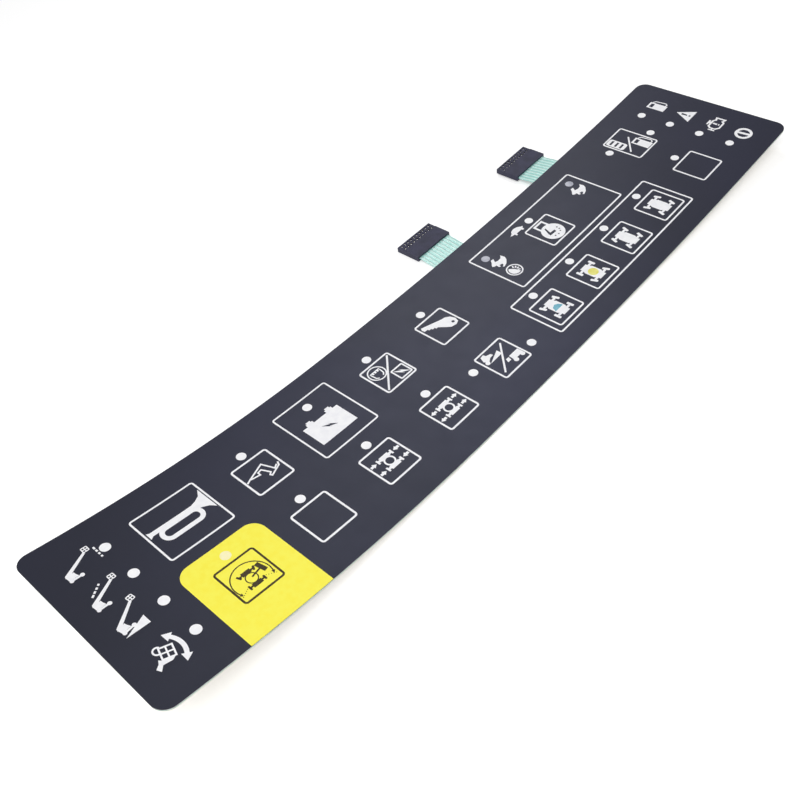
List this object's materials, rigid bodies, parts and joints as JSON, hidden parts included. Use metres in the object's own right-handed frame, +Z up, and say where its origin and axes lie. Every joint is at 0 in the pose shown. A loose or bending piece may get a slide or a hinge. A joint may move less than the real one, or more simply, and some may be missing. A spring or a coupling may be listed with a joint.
{
  "type": "membrane keypad",
  "caption": "Long bowed membrane keypad for a machine: dark printed film with framed keys, LED windows, a yellow key field and two flat tails with crimp connectors.",
  "frame": {"origin": "middle of the back of the sheet, on the lowest line of its bow, which is the table that it lies on", "axes": "+X along the sheet towards the fuel key, +Y across it towards the tails, +Z up from the printed face"},
  "size_m": [0.475, 0.1275, 0.0264],
  "materials": {
    "overlay_film": "satin",
    "white_ink": "satin",
    "window_ink": "satin",
    "yellow_ink": "satin",
    "dark_ink": "satin",
    "spacer_adhesive": "matte",
    "dome_steel": "bright rolled",
    "led_body": "clear resin",
    "circuit_film": "smooth film",
    "rear_adhesive": "tacky",
    "liner_paper": "glazed paper",
    "housing": "moulded",
    "contact_metal": "tin plated"
  },
  "bodies": {
    "root": {"graphic_overlay": "overlay_film", "frame_print": "white_ink", "window_print": "window_ink", "yellow_field": "yellow_ink", "enable_frame": "dark_ink", "dome_spacer": "spacer_adhesive", "circuit_film": "circuit_film", "rear_adhesive": "rear_adhesive", "release_liner": "liner_paper", "connector_a": "housing", "connector_b": "housing", "contacts_a": "contact_metal", "contacts_b": "contact_metal", "dome_horn": "dome_steel", "dome_aux": "dome_steel", "dome_battery": "dome_steel", "dome_select": "dome_steel", "dome_start": "dome_steel", "dome_spare_b": "dome_steel", "dome_axle_2": "dome_steel", "dome_axle_1": "dome_steel", "dome_lift": "dome_steel", "dome_steer_1": "dome_steel", "dome_steer_2": "dome_steel", "dome_steer_3": "dome_steel", "dome_steer_4": "dome_steel", "dome_rpm": "dome_steel", "dome_fuel": "dome_steel", "dome_spare_a": "dome_steel", "dome_enable": "dome_steel", "led_1": "led_body", "led_2": "led_body", "led_3": "led_body", "led_4": "led_body", "led_5": "led_body", "led_6": "led_body", "led_7": "led_body", "led_8": "led_body", "led_9": "led_body", "led_10": "led_body", "led_11": "led_body", "led_12": "led_body", "led_13": "led_body", "led_14": "led_body", "led_15": "led_body", "led_16": "led_body", "led_17": "led_body", "led_18": "led_body", "led_19": "led_body", "led_20": "led_body", "led_21": "led_body", "led_22": "led_body", "led_23": "led_body", "led_24": "led_body", "led_25": "led_body", "led_26": "led_body", "led_27": "led_body", "led_28": "led_body"}
  },
  "joints": []
}
